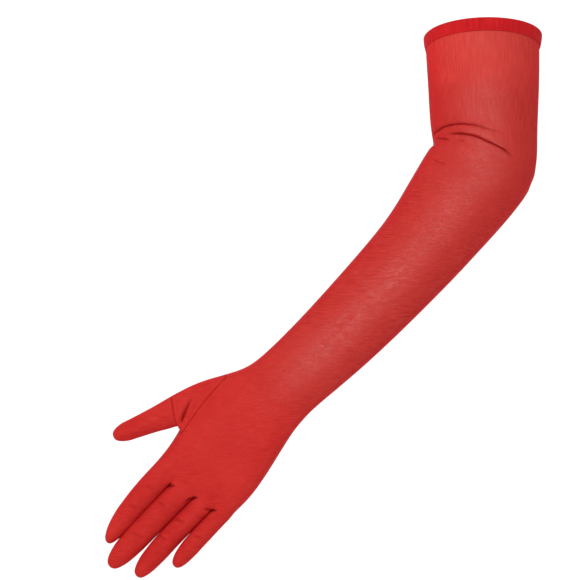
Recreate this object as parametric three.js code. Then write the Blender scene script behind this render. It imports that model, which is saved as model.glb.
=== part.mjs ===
// A long dress glove of sheer stretch tulle for a right hand, worn: the sleeve hangs from the upper arm,
// bends at the elbow and runs down to a hand with its thumb out.
// The cloth is one smooth surface over rings of points, cut along its seams into panels.
// Millimetres, +Z up, origin at the centre of the arm opening. The palm faces -Y.
import * as THREE from 'three'

// Driving dimensions
const clothThickness = 1.0
const seamGap = 0.35
const hemHeight = 10
const hemThickness = 1.0
const hemFlare = 0.5
const hemTiltDeg = 12

const upperArmLength = 111
const upperArmWidth = 87.5
const upperArmDepth = 82
const elbowBendDeg = 43.5
const elbowWidth = 83.5
const elbowDepth = 78
const forearmLength = 210
const forearmWidth = 72
const forearmDepth = 64
const wristWidth = 57
const wristDepth = 41
const palmLength = 120
const palmWidth = 74
const palmDepth = 33

// Fingers: index, middle, ring and little. web: how far along the hand the root lies; lean and hook: mm that
// the finger has moved to the thumb side at its tip, evenly and mostly near the tip; taper: share of the
// width lost towards the tip. The roots all stand rootSlide to the thumb side.
const fingerGap = 0.5
const fingers = [
  { length: 71.5, width: 19.3, depth: 17.5, web: 122.5, lean: -1.0, hook: -4.1, taper: 0.24, curlDeg: 10 },
  { length: 83.5, width: 20.4, depth: 18.5, web: 122.5, lean: 1.3, hook: -0.9, taper: 0, curlDeg: 12 },
  { length: 76.5, width: 16.9, depth: 17.0, web: 121, lean: 1.1, hook: -1.8, taper: -0.05, curlDeg: 15 },
  { length: 54.8, width: 14.6, depth: 14.5, web: 118, lean: 0.3, hook: -1.1, taper: 0, curlDeg: 19 },
]
const rootSlide = -2.4

const thumbLength = 51
const thumbWidth = 21
const thumbDepth = 20
const thumbAngleDeg = 25
const thumbSeamTurnDeg = 9
const thumbSeamAlong = 85.5
const thumbSeamAside = 49.5
const thumbSeamForward = 2

// Sections of the sleeve and palm, from the hem down. at: share of the segment's length; turn: share of the
// bend that its plane has turned by; wide and deep: shares of the segment's width and depth; shift: share of
// the width that it moves towards the thumb side; lean: share of the hem's tilt; crease: mm that the cloth
// sinks in there at the crook of the elbow.
const sleeveSections = [
  { segment: 'upperArm', at: 0.0, turn: 0, wide: 1.0, deep: 1.0, shift: 0.008, lean: 1 },
  { segment: 'upperArm', at: 0.09, turn: 0, wide: 1.0, deep: 1.0, shift: 0.009, lean: 1 },
  { segment: 'upperArm', at: 0.35, turn: 0, wide: 0.976, deep: 1.0, shift: 0, lean: 1 },
  { segment: 'elbow', at: -0.4, turn: 0.06, wide: 0.99, deep: 1.0, shift: -0.004, lean: 1.15, crease: -0.3 },
  { segment: 'elbow', at: -0.24, turn: 0.19, wide: 0.985, deep: 1.0, shift: -0.007, lean: 1.5, crease: 1.5 },
  { segment: 'elbow', at: -0.185, turn: 0.29, wide: 0.975, deep: 1.0, shift: -0.01, lean: 1.4, crease: 0 },
  { segment: 'elbow', at: -0.13, turn: 0.39, wide: 0.985, deep: 1.0, shift: 0.003, lean: 1.25, crease: 1.3 },
  { segment: 'elbow', at: -0.02, turn: 0.56, wide: 0.995, deep: 1.0, shift: 0.07, lean: 0.9 },
  { segment: 'forearm', at: 0.08, turn: 0.77, wide: 1.11, deep: 1.18, shift: 0.066, lean: 0.5 },
  { segment: 'forearm', at: 0.22, turn: 0.89, wide: 1.029, deep: 1.09, shift: 0.019, lean: 0.2 },
  { segment: 'forearm', at: 0.38, turn: 0.95, wide: 0.95, deep: 0.97, shift: -0.022, lean: 0 },
  { segment: 'forearm', at: 0.62, turn: 1, wide: 0.891, deep: 0.83, shift: -0.031, lean: 0 },
  { segment: 'wrist', at: -0.18, turn: 1, wide: 1.062, deep: 1.12, shift: -0.024, lean: 0 },
  { segment: 'wrist', at: -0.03, turn: 1, wide: 1.012, deep: 1.0, shift: 0.01, lean: 0 },
  { segment: 'palm', at: 0.1, turn: 1, wide: 0.778, deep: 1.2, shift: 0.03, lean: 0 },
  { segment: 'palm', at: 0.2, turn: 1, wide: 0.824, deep: 1.22, shift: 0.051, lean: 0 },
  { segment: 'palm', at: 0.32, turn: 1, wide: 0.945, deep: 1.22, shift: 0.09, lean: 0 },
  { segment: 'palm', at: 0.56, turn: 1, wide: 1.02, deep: 1.14, shift: 0.048, lean: 0 },
  { segment: 'palm', at: 0.765, turn: 1, wide: 1.02, deep: 1.0, shift: 0.0, lean: 0 },
  { segment: 'palm', at: 0.9, turn: 1, wide: 0.972, deep: 0.76, shift: -0.022, lean: 0 },
]
const thumbRow = 16

// Sections of a finger. at: share of its length; wide and deep: shares of its width and depth; bend: share
// of the curl reached there.
const fingerSections = [
  { at: 0.1, wide: 1.0, deep: 1.0, bend: 0.15 },
  { at: 0.38, wide: 1.0, deep: 0.96, bend: 0.6 },
  { at: 0.64, wide: 0.98, deep: 0.88, bend: 1.1 },
  { at: 0.85, wide: 0.8, deep: 0.74, bend: 1.5 },
  { at: 0.96, wide: 0.5, deep: 0.46, bend: 1.5 },
]

// Sections of the thumb, from the seam where it is set in. turn: share of the seam's turn; lift: mm that
// the section stands out to the thumb side.
const thumbSections = [
  { at: 0.0, wide: 1.13, deep: 1.0, turn: 1, lift: 0.7 },
  { at: 0.28, wide: 0.93, deep: 0.94, turn: 0.3, lift: 0.45 },
  { at: 0.56, wide: 0.81, deep: 0.88, turn: 0, lift: 0.15 },
  { at: 0.82, wide: 0.68, deep: 0.7, turn: 0, lift: 0 },
  { at: 0.955, wide: 0.42, deep: 0.42, turn: 0, lift: 0 },
]

const ringPoints = 20
const fingerPoints = 8
const fitRounds = 4

// A finger's centre line turns by curlRate times its curl over its length, up to curlMost times its curl
const curlRate = 1.75
const curlMost = 1.5
const curlSteps = 24

const creaseReach = 0.42
const palmSquareness = 0.62
const sideInset = 0.146
const webLift = { palm: -1.5, middle: 1.0, back: -5.0 }
const outerWebSetback = 2.5
const webDepthShare = { palm: 0.72, back: 0.86 }
const rootDepthShare = { palm: 0.95, back: 1.12 }
const rad = THREE.MathUtils.degToRad
const hemFold = hemThickness + seamGap
// How far the sleeve's facets stand off the section at the hem
const smoothRise = 0.18

// Direction of travel and the direction to the thumb side, for a heading turned from straight down
const travel = (heading) => new THREE.Vector3(-Math.sin(heading), 0, -Math.cos(heading))
const thumbSide = (heading) => new THREE.Vector3(-Math.cos(heading), 0, Math.sin(heading))

// Where the arm's straight segments start, and the named size that each follows
const armHeading = rad(elbowBendDeg)
const sleeveTop = new THREE.Vector3(0, 0, -hemFold)
const elbowAt = travel(0).multiplyScalar(upperArmLength)
const wristAt = elbowAt.clone().addScaledVector(travel(armHeading), forearmLength)
const [down, along] = [travel(0), travel(armHeading)]
const [topWidth, topDepth] = [upperArmWidth, upperArmDepth]
const segments = {
  upperArm: { start: sleeveTop, run: down, length: upperArmLength, width: topWidth, depth: topDepth },
  elbow: { start: elbowAt, run: down, length: upperArmLength, width: elbowWidth, depth: elbowDepth },
  forearm: { start: elbowAt, run: along, length: forearmLength, width: forearmWidth, depth: forearmDepth },
  wrist: { start: wristAt, run: along, length: forearmLength, width: wristWidth, depth: wristDepth },
  palm: { start: wristAt, run: along, length: palmLength, width: palmWidth, depth: palmDepth },
}

// Sideways places of the finger roots across the hand: edges[i] to edges[i + 1] holds finger i
const rootWidth = fingers.reduce((sum, finger) => sum + finger.width, 0)
const edges = [rootWidth / 2]
fingers.forEach((finger, i) => edges.push(edges[i] - finger.width))

// A ring's points run from the thumb side over the palm to the far side and back over the back of the hand.
// On the arm they are evenly spaced; across the hand they line up with the fingers.
function armPoint(index) {
  const angle = (2 * Math.PI * index) / ringPoints
  return [Math.cos(angle), -Math.sin(angle)]
}
const rootPlaces = edges.flatMap((edge, i) => (i < 4 ? [edge, (edge + edges[i + 1]) / 2] : [edge]))
rootPlaces[0] -= fingers[0].width * sideInset
rootPlaces[8] += fingers[3].width * sideInset
function handPoint(index) {
  const half = ringPoints / 2
  if (index % half === 0) return [index === 0 ? 1 : -1, 0]
  const across = index < half ? index : ringPoints - index
  const n = (2 * rootPlaces[across - 1]) / rootWidth
  const d = Math.pow(1 - Math.pow(Math.abs(n), 2 / palmSquareness), palmSquareness / 2)
  return [n, index < half ? -d : d]
}

const points = []
const faces = []
const addPoint = (point) => points.push(point) - 1
const addFace = (corners, piece) => faces.push({ corners, piece })

// Sleeve and palm
const handShare = (section) => {
  if (section.segment === 'palm') return Math.min(1, 0.45 + section.at)
  return section.segment === 'wrist' ? 0.25 : 0
}
const sleeveRings = sleeveSections.map((section) => {
  const segment = segments[section.segment]
  const side = thumbSide(armHeading * section.turn)
  const centre = segment.start.clone().addScaledVector(segment.run, section.at * segment.length)
  centre.addScaledVector(side, section.shift * segment.width)
  const lean = Math.tan(rad(hemTiltDeg)) * section.lean
  const blend = handShare(section)
  return Array.from({ length: ringPoints }, (_, index) => {
    const arm = armPoint(index)
    const hand = handPoint(index)
    const n = arm[0] + (hand[0] - arm[0]) * blend
    const d = arm[1] + (hand[1] - arm[1]) * blend
    const turned = Math.abs(((index + ringPoints / 2) % ringPoints) / ringPoints - 0.5)
    const sunk = (section.crease ?? 0) * Math.cos((Math.PI / 2) * Math.min(1, turned / creaseReach))
    const point = centre.clone()
    point.addScaledVector(side, n * ((section.wide * segment.width) / 2 - sunk))
    point.y += d * ((section.deep * segment.depth) / 2 - sunk)
    point.z -= point.y * lean
    return addPoint(point)
  })
})

// The ring at the finger roots, with a web point between each two fingers
const aside = thumbSide(armHeading)
const handPlace = (forward, sideways, depth) => {
  const point = wristAt.clone().addScaledVector(along, forward).addScaledVector(aside, sideways)
  point.y += depth
  return point
}
const meanOf = (i, value) => (value(fingers[Math.max(i - 1, 0)]) + value(fingers[Math.min(i, 3)])) / 2
const rootRing = new Array(ringPoints)
const webs = []
edges.forEach((edge, i) => {
  const outer = i === 0 || i === 4
  const web = meanOf(i, (finger) => finger.web) - (outer ? outerWebSetback : 0)
  const place = rootPlaces[2 * i] + rootSlide
  const depth = meanOf(i, (finger) => finger.depth) / 2
  const palmSide = handPlace(web + webLift.palm, place, -depth * webDepthShare.palm)
  const backSide = handPlace(web + webLift.back, place, depth * webDepthShare.back)
  rootRing[1 + 2 * i] = addPoint(palmSide)
  rootRing[ringPoints - 1 - 2 * i] = addPoint(backSide)
  webs[i] = addPoint(handPlace(web + (outer ? 0 : webLift.middle), edge + rootSlide, 0))
})
rootRing[0] = webs[0]
rootRing[ringPoints / 2] = webs[4]
fingers.forEach((finger, i) => {
  const depth = finger.depth / 2
  const place = rootPlaces[2 * i + 1] + rootSlide
  const palmSide = handPlace(finger.web + webLift.palm, place, -depth * rootDepthShare.palm)
  const backSide = handPlace(finger.web + webLift.back, place, depth * rootDepthShare.back)
  rootRing[2 + 2 * i] = addPoint(palmSide)
  rootRing[ringPoints - 2 - 2 * i] = addPoint(backSide)
})

function joinRings(upper, lower, pieceOf, skip = () => false) {
  upper.forEach((_, index) => {
    const next = (index + 1) % upper.length
    if (!skip(index)) addFace([upper[index], lower[index], lower[next], upper[next]], pieceOf(index))
  })
}
const panelOf = (count) => (index) => (index < count / 2 ? 'palm_panel' : 'back_panel')
const rows = [...sleeveRings, rootRing]
rows.slice(1).forEach((lower, row) => {
  const atThumb = row === thumbRow || row === thumbRow + 1
  const inThumbHole = (index) => atThumb && (index === 0 || index === ringPoints - 1)
  joinRings(rows[row], lower, panelOf(ringPoints), inThumbHole)
})

// A closed tube of rings that carries on from a start ring, with a rounded end
function tube(startRing, sections, placeRing, pieceOf) {
  let previous = startRing
  sections.forEach((section) => {
    const ring = placeRing(section)
    joinRings(previous, ring, pieceOf)
    previous = ring
  })
  return previous
}
function closeTip(ring, tip, pieceOf) {
  for (let i = 0; i < fingerPoints; i += 2) {
    addFace([tip, ring[i], ring[i + 1], ring[(i + 2) % fingerPoints]].reverse(), pieceOf(i))
  }
}

fingers.forEach((finger, i) => {
  const start = [webs[i], rootRing[1 + 2 * i], rootRing[2 + 2 * i], rootRing[3 + 2 * i], webs[i + 1],
    rootRing[ringPoints - 3 - 2 * i], rootRing[ringPoints - 2 - 2 * i], rootRing[ringPoints - 1 - 2 * i]]
  const place = rootPlaces[2 * i + 1] + rootSlide
  const curl = rad(finger.curlDeg)
  // The centre line curls towards the palm side: each step turns a little more
  const centreAt = (share) => {
    const point = handPlace(finger.web, place + finger.lean * share + finger.hook * share ** 3, 0)
    const stride = (finger.length * share) / curlSteps
    for (let step = 0; step < curlSteps; step += 1) {
      const angle = curl * Math.min(curlMost, (curlRate * share * (step + 0.5)) / curlSteps)
      point.addScaledVector(along, Math.cos(angle) * stride)
      point.y -= Math.sin(angle) * stride
    }
    return point
  }
  const placeRing = (section) => {
    const angle = curl * section.bend
    const centre = centreAt(section.at)
    const lift = along.clone().multiplyScalar(Math.sin(angle))
    lift.y = Math.cos(angle)
    const taper = 1 - finger.taper * section.at ** 2
    const halfWidth = ((finger.width - fingerGap) / 2) * section.wide * taper
    return Array.from({ length: fingerPoints }, (_, index) => {
      const turn = (2 * Math.PI * index) / fingerPoints
      const point = centre.clone().addScaledVector(aside, Math.cos(turn) * halfWidth)
      return addPoint(point.addScaledVector(lift, (-Math.sin(turn) * finger.depth * section.deep) / 2))
    })
  }
  const last = tube(start, fingerSections, placeRing, panelOf(fingerPoints))
  closeTip(last, addPoint(centreAt(1)), panelOf(fingerPoints))
})

// Thumb: a gusset from the opening in the side of the hand to the seam, then the thumb itself
const upperRow = rows[thumbRow]
const middleRow = rows[thumbRow + 1]
const lowerRow = rows[thumbRow + 2]
const last = ringPoints - 1
const thumbHole = [upperRow[0], upperRow[1], middleRow[1], lowerRow[1],
  lowerRow[0], lowerRow[last], middleRow[last], upperRow[last]]
const thumbHeading = armHeading + rad(thumbAngleDeg)
const thumbRoot = handPlace(thumbSeamAlong, thumbSeamAside, -thumbSeamForward)
const placeThumbRing = (section) => {
  const side = thumbSide(thumbHeading + rad(thumbSeamTurnDeg) * section.turn)
  const centre = thumbRoot.clone().addScaledVector(travel(thumbHeading), thumbLength * section.at)
  centre.addScaledVector(side, section.lift)
  return Array.from({ length: fingerPoints }, (_, index) => {
    const turn = (2 * Math.PI * index) / fingerPoints
    const point = centre.clone().addScaledVector(side, (Math.cos(turn) * thumbWidth * section.wide) / 2)
    point.y -= (Math.sin(turn) * thumbDepth * section.deep) / 2
    return addPoint(point)
  })
}
const seamRing = placeThumbRing(thumbSections[0])
joinRings(thumbHole, seamRing, () => 'thumb_gusset')
const thumbEnd = tube(seamRing, thumbSections.slice(1), placeThumbRing, () => 'thumb')
const thumbTip = thumbRoot.clone().addScaledVector(travel(thumbHeading), thumbLength)
closeTip(thumbEnd, addPoint(thumbTip), () => 'thumb')

// The points that a surface needs lie off it a little, so each is moved until the smooth surface passes
// through the place that the sections give. Points inside the thumb's opening belong to no face.
function limitPoints(net) {
  const noSum = () => ({ ring: new THREE.Vector3(), far: new THREE.Vector3(), count: 0, rim: [] })
  const sums = net.points.map(noSum)
  const edgeUse = new Map()
  net.faces.forEach(({ corners }) => corners.forEach((corner, i) => {
    const next = corners[(i + 1) % 4]
    const sum = sums[corner]
    sum.ring.add(net.points[next]).add(net.points[corners[(i + 3) % 4]])
    sum.far.add(net.points[corners[(i + 2) % 4]])
    sum.count += 1
    const key = Math.min(corner, next) + '_' + Math.max(corner, next)
    edgeUse.set(key, [...(edgeUse.get(key) ?? []), corner, next])
  }))
  edgeUse.forEach((ends) => {
    if (ends.length > 2) return
    sums[ends[0]].rim.push(ends[1])
    sums[ends[1]].rim.push(ends[0])
  })
  return sums.map(({ ring, far, count, rim }, i) => {
    const point = net.points[i].clone()
    if (count === 0) return point
    if (rim.length === 2) {
      const [before, after] = rim.map((neighbour) => net.points[neighbour])
      return point.multiplyScalar(4).add(before).add(after).divideScalar(6)
    }
    point.multiplyScalar(count * count).addScaledVector(ring, 2).add(far)
    return point.divideScalar(count * (count + 5))
  })
}
function fitted(net, rounds) {
  const wanted = net.points.map((point) => point.clone())
  for (let round = 0; round < rounds; round += 1) {
    const limit = limitPoints(net)
    net.points.forEach((point, i) => point.add(wanted[i]).sub(limit[i]))
  }
  return net
}

const sumOf = (list) => list.reduce((sum, point) => sum.add(point), new THREE.Vector3())
const mean = (list) => sumOf(list).divideScalar(list.length)

// One step of Catmull-Clark subdivision, which keeps each face's piece
function subdivided(net) {
  const made = []
  const add = (point) => made.push(point) - 1
  const centres = net.faces.map(({ corners }) => add(mean(corners.map((corner) => net.points[corner]))))
  const edgeList = new Map()
  const around = net.points.map(() => ({ centres: [], middles: [], rim: [] }))
  net.faces.forEach(({ corners }, f) => corners.forEach((corner, i) => {
    const next = corners[(i + 1) % 4]
    const key = Math.min(corner, next) + '_' + Math.max(corner, next)
    if (!edgeList.has(key)) edgeList.set(key, { ends: [corner, next], faces: [] })
    edgeList.get(key).faces.push(f)
    around[corner].centres.push(made[centres[f]])
  }))
  edgeList.forEach((edge) => {
    const [a, b] = edge.ends
    const middle = net.points[a].clone().add(net.points[b]).multiplyScalar(0.5)
    around[a].middles.push(middle)
    around[b].middles.push(middle)
    if (edge.faces.length === 1) {
      around[a].rim.push(net.points[b])
      around[b].rim.push(net.points[a])
      edge.point = add(middle.clone())
    } else {
      const sides = made[centres[edge.faces[0]]].clone().add(made[centres[edge.faces[1]]])
      edge.point = add(sides.addScaledVector(middle, 2).divideScalar(4))
    }
  })
  const kept = net.points.map((point, i) => {
    const { centres: near, middles, rim } = around[i]
    if (near.length === 0) return -1
    if (rim.length === 2) return add(point.clone().multiplyScalar(6).add(sumOf(rim)).divideScalar(8))
    const n = near.length
    return add(mean(near).addScaledVector(mean(middles), 2).addScaledVector(point, n - 3).divideScalar(n))
  })
  const edgePoint = (a, b) => edgeList.get(Math.min(a, b) + '_' + Math.max(a, b)).point
  const split = net.faces.flatMap(({ corners, piece }, f) => corners.map((corner, i) => {
    const next = corners[(i + 1) % 4]
    const before = corners[(i + 3) % 4]
    return { corners: [kept[corner], edgePoint(corner, next), centres[f], edgePoint(before, corner)], piece }
  }))
  return { points: made, faces: split }
}

const surface = subdivided(fitted({ points, faces }, fitRounds))

// Outward direction at each point of the surface
const outward = surface.points.map(() => new THREE.Vector3())
surface.faces.forEach(({ corners }) => {
  const [a, b, c, d] = corners.map((corner) => surface.points[corner])
  const normal = c.clone().sub(a).cross(d.clone().sub(b))
  corners.forEach((corner) => outward[corner].add(normal))
})
outward.forEach((normal) => normal.normalize())

function geometryOf(positions, quads) {
  const geometry = new THREE.BufferGeometry()
  const values = positions.flatMap((point) => point.toArray())
  geometry.setAttribute('position', new THREE.Float32BufferAttribute(values, 3))
  geometry.setIndex(quads.flatMap(([a, b, c, d]) => [a, b, c, a, c, d]))
  geometry.computeVertexNormals()
  return geometry
}

// A piece of the cloth: its faces, a wall's thickness inwards, and a rim, drawn back from its seams
function clothPiece(piece) {
  const own = surface.faces.filter((face) => face.piece === piece)
  const used = [...new Set(own.flatMap((face) => face.corners))]
  const local = new Map(used.map((corner, i) => [corner, i]))
  const inner = used.length
  const edgesOf = ({ corners }) => corners.map((corner, i) => [corner, corners[(i + 1) % 4]])
  const ownEdges = own.flatMap(edgesOf)
  const edgeUse = new Set(ownEdges.map(([a, b]) => a + '_' + b))
  const rim = ownEdges.filter(([a, b]) => !edgeUse.has(b + '_' + a))
  const pull = new Map(rim.map(([corner]) => [corner, new THREE.Vector3()]))
  own.forEach(({ corners }) => {
    const centre = mean(corners.map((corner) => surface.points[corner]))
    corners.forEach((corner) => pull.get(corner)?.add(centre).sub(surface.points[corner]))
  })
  pull.forEach((direction, corner) => {
    direction.addScaledVector(outward[corner], -direction.dot(outward[corner])).setLength(seamGap / 2)
  })
  const still = new THREE.Vector3()
  const outer = used.map((corner) => surface.points[corner].clone().add(pull.get(corner) ?? still))
  const lining = used.map((corner, i) => outer[i].clone().addScaledVector(outward[corner], -clothThickness))
  const quads = own.flatMap(({ corners }) => {
    const ids = corners.map((corner) => local.get(corner))
    return [ids, ids.map((id) => id + inner).reverse()]
  })
  rim.forEach((edge) => {
    const [a, b] = edge.map((corner) => local.get(corner))
    quads.push([b, a, a + inner, b + inner])
  })
  return geometryOf([...outer, ...lining], quads)
}

// The hem: a band folded over the sleeve's top edge. Its section, as mm below that edge and mm outwards from
// the sleeve's face.
function hemBand() {
  const leg = hemHeight - hemFold
  const outer = seamGap + hemThickness
  const inner = -clothThickness - outer
  const rim = outer + hemFlare
  const half = -clothThickness / 2
  const profile = [
    { below: leg, out: outer },
    { below: leg / 2, out: (outer + rim) / 2 },
    { below: 0, out: rim },
    { below: -hemFold * 0.7, out: half + (rim - half) * 0.75 },
    { below: -hemFold, out: half },
    { below: -hemFold * 0.7, out: half + (inner - half) * 0.75 },
    { below: 0, out: inner },
    { below: leg, out: inner },
    { below: leg, out: inner + hemThickness },
    { below: 0, out: inner + hemThickness },
    { below: -seamGap, out: half },
    { below: 0, out: outer - hemThickness },
    { below: leg / 2, out: outer - hemThickness },
    { below: leg, out: outer - hemThickness },
  ]
  const [top] = sleeveSections
  const columns = ringPoints * 2
  const bandPoint = ({ below, out }, column) => {
    const angle = (2 * Math.PI * column) / columns
    const across = (top.wide * topWidth) / 2 + smoothRise + out
    const deep = (top.deep * topDepth) / 2 + smoothRise + out
    const y = -Math.sin(angle) * deep
    const x = -Math.cos(angle) * across - top.shift * topWidth
    return new THREE.Vector3(x, y, -hemFold - below - y * Math.tan(rad(hemTiltDeg)))
  }
  const positions = profile.flatMap((spot) => Array.from({ length: columns }, (_, i) => bandPoint(spot, i)))
  const quads = profile.flatMap((_, row) => {
    const next = (row + 1) % profile.length
    return Array.from({ length: columns }, (__, i) => {
      const j = (i + 1) % columns
      return [row * columns + i, row * columns + j, next * columns + j, next * columns + i]
    })
  })
  return geometryOf(positions, quads)
}

const glove = new THREE.Group()
const tulle = new THREE.MeshStandardMaterial({ color: 0xc8352f, roughness: 0.75, metalness: 0 })
const addPiece = (name, geometry) => {
  const mesh = new THREE.Mesh(geometry, tulle)
  mesh.name = name
  glove.add(mesh)
}
for (const name of ['palm_panel', 'back_panel', 'thumb_gusset', 'thumb']) addPiece(name, clothPiece(name))
addPiece('hem_band', hemBand())
export default glove
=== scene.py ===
# A long sheer tulle glove for a right hand, in its worn shape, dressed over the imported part.
import math

import bpy
import numpy as np
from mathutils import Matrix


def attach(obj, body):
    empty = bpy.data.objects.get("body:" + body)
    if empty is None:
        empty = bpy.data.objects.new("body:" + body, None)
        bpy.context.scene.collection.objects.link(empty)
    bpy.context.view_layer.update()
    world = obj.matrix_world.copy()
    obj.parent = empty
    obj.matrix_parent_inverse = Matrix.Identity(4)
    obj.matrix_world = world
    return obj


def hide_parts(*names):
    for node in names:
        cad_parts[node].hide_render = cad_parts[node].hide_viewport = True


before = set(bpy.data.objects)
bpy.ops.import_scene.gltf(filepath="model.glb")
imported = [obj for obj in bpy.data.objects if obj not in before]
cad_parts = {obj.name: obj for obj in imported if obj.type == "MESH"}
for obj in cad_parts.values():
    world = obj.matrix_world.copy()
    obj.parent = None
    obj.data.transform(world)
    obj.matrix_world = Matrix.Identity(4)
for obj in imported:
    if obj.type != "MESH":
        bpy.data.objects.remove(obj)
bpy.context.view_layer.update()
mm = 0.001
rad = math.radians

# The arm and hand that the cloth follows, in mm. The sizes are the part's, with a thinner cloth, and a few
# rows at the elbow, the finger roots and the thumb follow the photograph closer. From the wrist on the
# sections take up a share of the squarer ring of the hand
arm = {
    "hemFold": 1.35, "hemTilt": 12, "thickness": 0.25,
    "upperArm": {"length": 111, "width": 87.5, "depth": 82},
    "elbow": {"length": 111, "width": 83.5, "depth": 78},
    "forearm": {"length": 210, "width": 72, "depth": 64},
    "wrist": {"length": 210, "width": 57, "depth": 41},
    "palm": {"length": 120, "width": 74, "depth": 33},
    "elbowBend": 43.5, "creaseReach": 0.42, "palmSquareness": 0.62, "sideInset": 0.146,
    "rootSlide": -2.4, "thumbRow": 17, "ringPoints": 20, "smoothness": 3,
    "handShare": {"wrist": 0.25, "palm": 0.45},
}

# Sections from the hem down: segment, share of its length, share of the bend, shares of its width and depth,
# share of the width moved towards the thumb, share of the hem's tilt, mm sunk at the crook of the elbow
sleeveSections = [
    ("upperArm", 0.0, 0, 1.0, 1.0, 0.008, 1, 0),
    ("upperArm", 0.09, 0, 1.0, 1.0, 0.009, 1, 0),
    ("upperArm", 0.35, 0, 0.976, 1.0, 0, 1, 0),
    ("elbow", -0.4, 0.06, 0.99, 1.0, -0.004, 1.15, -0.3),
    ("elbow", -0.24, 0.19, 0.985, 1.0, -0.007, 1.5, 0.9),
    ("elbow", -0.185, 0.29, 0.975, 1.0, -0.01, 1.4, 0),
    ("elbow", -0.13, 0.39, 0.985, 1.0, 0.003, 1.25, 0.7),
    ("elbow", -0.075, 0.475, 0.989, 1.0, 0.035, 1.08, 0.15),
    ("elbow", -0.02, 0.56, 0.995, 1.0, 0.07, 0.9, 0),
    ("forearm", 0.08, 0.77, 1.11, 1.18, 0.066, 0.5, 0),
    ("forearm", 0.22, 0.89, 1.029, 1.09, 0.019, 0.2, 0),
    ("forearm", 0.38, 0.95, 0.95, 0.97, -0.022, 0, 0),
    ("forearm", 0.62, 1, 0.891, 0.83, -0.031, 0, 0),
    ("wrist", -0.18, 1, 1.062, 1.12, -0.024, 0, 0),
    ("wrist", -0.03, 1, 1.012, 1.0, 0.01, 0, 0),
    ("palm", 0.1, 1, 0.778, 1.2, 0.03, 0, 0),
    ("palm", 0.2, 1, 0.824, 1.22, 0.051, 0, 0),
    ("palm", 0.32, 1, 0.945, 1.22, 0.09, 0, 0),
    ("palm", 0.56, 1, 1.02, 1.14, 0.048, 0, 0),
    ("palm", 0.765, 1, 1.02, 1.0, 0.0, 0, 0),
    ("palm", 0.9, 1, 0.972, 0.76, -0.022, 0, 0),
]

# Fingers from the index on, in mm: length, width, depth, how far along the hand the root lies, how far it
# leans and hooks towards the thumb by its tip, share of the width lost towards the tip, degrees of curl.
# Length and root of the first two differ from the part's
fingerKeys = ("length", "width", "depth", "web", "lean", "hook", "taper", "curl")
fingers = [dict(zip(fingerKeys, row)) for row in (
    (66, 19.3, 17.5, 128, -1.0, -4.1, 0.24, 10),
    (82, 20.4, 18.5, 124, 1.3, -0.9, 0, 12),
    (76.5, 16.9, 17.0, 121, 1.1, -1.8, -0.05, 15),
    (54.8, 14.6, 14.5, 118, 0.3, -1.1, 0, 19))]
# mm between fingers and along the hand at their roots, shares of the depth there
fingerRoots = {"gap": 0.1, "palmLift": -1.5, "middleLift": 1.0, "backLift": -5.0, "outerBack": 2.5,
               "palmWebDepth": 0.72, "backWebDepth": 0.86, "palmDepth": 0.95, "backDepth": 1.12}
# A finger's curl grows with the share of its length times the rate, up to the limit
fingerBend = {"rate": 1.75, "limit": 1.5, "steps": 24}
# share of the length, of the width, of the depth, of the curl
fingerSections = np.array([
    (0.1, 1.01, 1.0, 0.15), (0.24, 1.015, 0.985, 0.38), (0.38, 1.015, 0.96, 0.6), (0.52, 0.99, 0.925, 0.85),
    (0.64, 0.98, 0.88, 1.1), (0.75, 0.91, 0.82, 1.31), (0.85, 0.8, 0.74, 1.5), (0.96, 0.5, 0.46, 1.5)])

# The seam lies where the thumb leaves its gusset. The bulge is the gusset's, mm at a share of the way to it
thumb = {"length": 51, "width": 21, "depth": 20, "angle": 25, "seamTurn": 9, "seamAlong": 85.5,
         "seamAside": 49.5, "seamDepth": -2, "bulge": 2.0, "bulgeAt": 0.5,
         "columnWidth": 1.1, "gussetHeight": 30, "tipHeight": 3}
# share of the length, of the width, of the depth, of the seam's turn, mm moved to the thumb's outer side
thumbSections = np.array([
    (0.0, 1.14, 1.0, 1, 0.8), (0.14, 1.035, 0.97, 0.65, 0.65), (0.28, 0.935, 0.94, 0.3, 0.45),
    (0.42, 0.86, 0.91, 0.1, 0.3), (0.56, 0.8, 0.88, 0, 0.15), (0.7, 0.745, 0.8, 0, 0),
    (0.82, 0.68, 0.7, 0, 0), (0.955, 0.42, 0.42, 0, 0)])
pieceNames = ["palmPanel", "backPanel", "thumbGusset", "thumb"]


def travel(heading):
    return np.array([-math.sin(heading), 0, -math.cos(heading)])


def thumbSide(heading):
    return np.array([-math.cos(heading), 0, math.sin(heading)])


bend = rad(arm["elbowBend"])
along = travel(bend)
aside = thumbSide(bend)
elbowAt = travel(0) * arm["upperArm"]["length"]
wristAt = elbowAt + along * arm["forearm"]["length"]
segmentStart = {"upperArm": np.array([0, 0, -arm["hemFold"]]), "elbow": elbowAt, "forearm": elbowAt,
                "wrist": wristAt, "palm": wristAt}
segmentAlong = {"upperArm": travel(0), "elbow": travel(0), "forearm": along, "wrist": along, "palm": along}


def handPlace(forward, sideways, depth):
    return wristAt + along * forward + aside * sideways + np.array([0, depth, 0])


def rootPlaces():
    # Edges and middles of the four fingers across the hand, from the thumb side
    widths = np.array([finger["width"] for finger in fingers])
    edges = widths.sum() / 2 - np.concatenate([[0], np.cumsum(widths)])
    places = np.empty(9)
    places[0::2] = edges
    places[1::2] = (edges[1:] + edges[:-1]) / 2
    places[0] -= widths[0] * arm["sideInset"]
    places[8] += widths[3] * arm["sideInset"]
    return edges, places


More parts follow.
